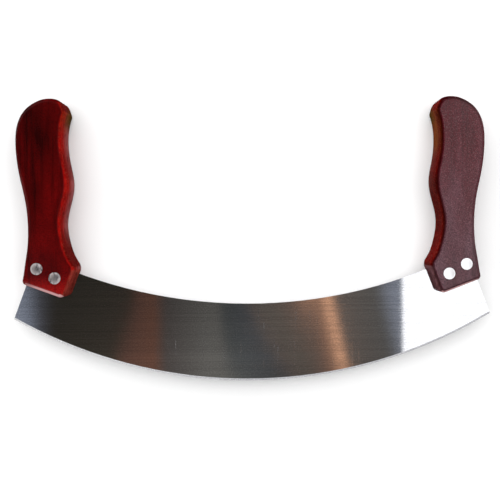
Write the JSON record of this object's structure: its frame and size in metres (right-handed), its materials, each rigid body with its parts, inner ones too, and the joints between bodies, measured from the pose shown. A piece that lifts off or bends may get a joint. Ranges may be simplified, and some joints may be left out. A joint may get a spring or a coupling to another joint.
{
  "type": "mezzaluna",
  "caption": "Curved two-handled chopping knife: a crescent steel blade with an upright wooden handle riveted on each end.",
  "frame": {"origin": "under the middle of the whole outline, level with the backs of the handles, on which the knife lies", "axes": "+X along the blade to the right, +Y from the cutting edge towards the tops of the handles, +Z square to the blade, out of its front"},
  "size_m": [0.254, 0.15, 0.02],
  "materials": {
    "blade_steel": "fine brushed lines along the blade, with a ground bright edge",
    "handle_wood": "hardwood stained mahogany red under gloss lacquer",
    "rivet_aluminium": "pressed bright, slightly dished heads"
  },
  "bodies": {
    "root": {"blade": "blade_steel", "left_handle": "handle_wood", "right_handle": "handle_wood", "left_outer_rivet_post": "rivet_aluminium", "left_outer_rivet_sleeve": "rivet_aluminium", "left_inner_rivet_post": "rivet_aluminium", "left_inner_rivet_sleeve": "rivet_aluminium", "right_inner_rivet_post": "rivet_aluminium", "right_inner_rivet_sleeve": "rivet_aluminium", "right_outer_rivet_post": "rivet_aluminium", "right_outer_rivet_sleeve": "rivet_aluminium"}
  },
  "joints": []
}
